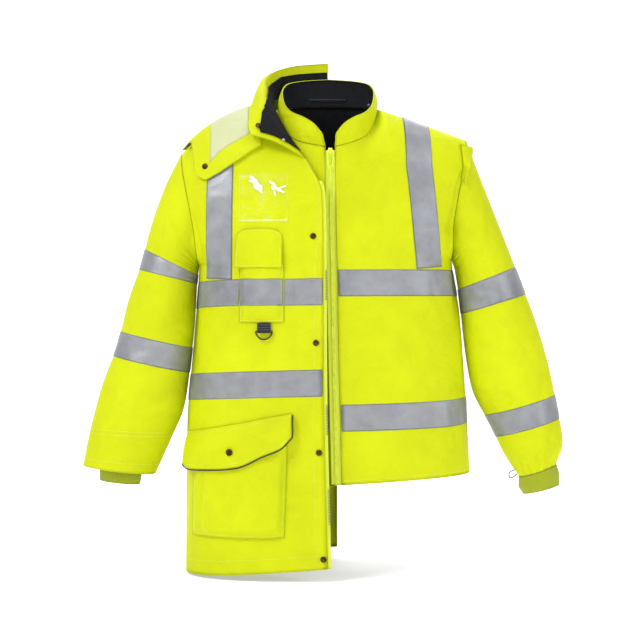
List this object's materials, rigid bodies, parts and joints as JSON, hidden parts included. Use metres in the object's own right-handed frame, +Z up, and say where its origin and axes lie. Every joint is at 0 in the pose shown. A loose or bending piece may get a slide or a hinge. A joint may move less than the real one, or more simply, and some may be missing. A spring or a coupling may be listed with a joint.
{
  "type": "layered hi-vis work jacket",
  "caption": "Hi-vis work jacket standing open as if worn: the right half of a long coat with zip-off sleeve and pockets over a shorter fleece-lined jacket, with reflective tape.",
  "frame": {"origin": "between the shoulders, level with the base of the neck, where the wearer's trunk carries the jacket", "axes": "+Z up towards the collar, +X towards the wearer's left sleeve, -Y towards the front with the zip"},
  "size_m": [0.931, 0.3458, 1.0065],
  "materials": {
    "hi_vis_cloth": "matt",
    "reflective_tape": "satin",
    "black_cloth": "matt",
    "knit": "matt",
    "dark_metal": "satin",
    "piping": "matt",
    "pale_panel": "satin",
    "clear_film": "gloss",
    "black_plastic": "satin",
    "zip_teeth": "satin"
  },
  "bodies": {
    "jacket": {"jacket_front_left": "hi_vis_cloth", "jacket_front_right": "hi_vis_cloth", "jacket_back": "hi_vis_cloth", "coat_front": "hi_vis_cloth", "coat_back": "hi_vis_cloth", "coat_sleeve": "hi_vis_cloth", "jacket_sleeve_left": "hi_vis_cloth", "jacket_sleeve_right": "hi_vis_cloth", "jacket_collar": "hi_vis_cloth", "coat_collar": "hi_vis_cloth", "jacket_collar_lining": "black_cloth", "coat_collar_lining": "black_cloth", "jacket_hem_facing": "black_cloth", "hanger_loop": "black_cloth", "knit_cuff_left": "knit", "knit_cuff_right": "knit", "cuff_loop": "black_cloth", "shoulder_flange": "hi_vis_cloth", "coat_tape_brace_front": "reflective_tape", "coat_tape_waist_front": "reflective_tape", "coat_tape_waist_back": "reflective_tape", "coat_tape_chest_back": "reflective_tape", "coat_tape_brace_back": "reflective_tape", "coat_tape_sleeve_upper": "reflective_tape", "coat_tape_sleeve_lower": "reflective_tape", "jacket_tape_chest_front": "reflective_tape", "jacket_tape_waist_front": "reflective_tape", "jacket_tape_brace_front": "reflective_tape", "jacket_tape_waist_back": "reflective_tape", "jacket_tape_chest_back": "reflective_tape", "jacket_tape_brace_back": "reflective_tape", "jacket_tape_sleeve_upper": "reflective_tape", "jacket_tape_sleeve_lower": "reflective_tape", "phone_pocket": "hi_vis_cloth", "phone_pocket_flap": "hi_vis_cloth", "card_pocket": "clear_film", "coat_tape_chest_pocket": "reflective_tape", "coat_tape_chest_side": "reflective_tape", "coat_tape_chest_centre": "reflective_tape", "cargo_pocket": "hi_vis_cloth", "cargo_flap": "hi_vis_cloth", "flap_piping": "piping", "cargo_stud": "dark_metal", "jacket_zip_tape": "hi_vis_cloth", "jacket_zip_chain": "zip_teeth", "coat_zip_tape": "hi_vis_cloth", "jacket_zip_slider": "zip_teeth", "d_ring_tab": "black_cloth", "shoulder_flap": "hi_vis_cloth", "shoulder_flap_panel": "pale_panel", "shoulder_stud_1": "dark_metal", "shoulder_stud_2": "dark_metal", "jacket_tape_chest_right": "reflective_tape", "jacket_tape_waist_right": "reflective_tape", "placket_stud_1": "dark_metal", "placket_stud_2": "dark_metal", "placket_stud_3": "dark_metal", "placket_stud_4": "dark_metal"},
    "zip_pull": {"jacket_zip_pull": "zip_teeth"},
    "d_ring": {"d_ring": "black_plastic"}
  },
  "joints": [
    {"name": "zip_pull_swing", "type": "hinge", "parent": "jacket", "child": "zip_pull", "pos_m": [0.0045, -0.10616, -0.05912], "axis": [-1, 0, 0], "range_deg": [0, 120]},
    {"name": "d_ring_swing", "type": "hinge", "parent": "jacket", "child": "d_ring", "pos_m": [-0.12, -0.1538, -0.4025], "axis": [-1, 0, 0], "range_deg": [0, 120]}
  ]
}
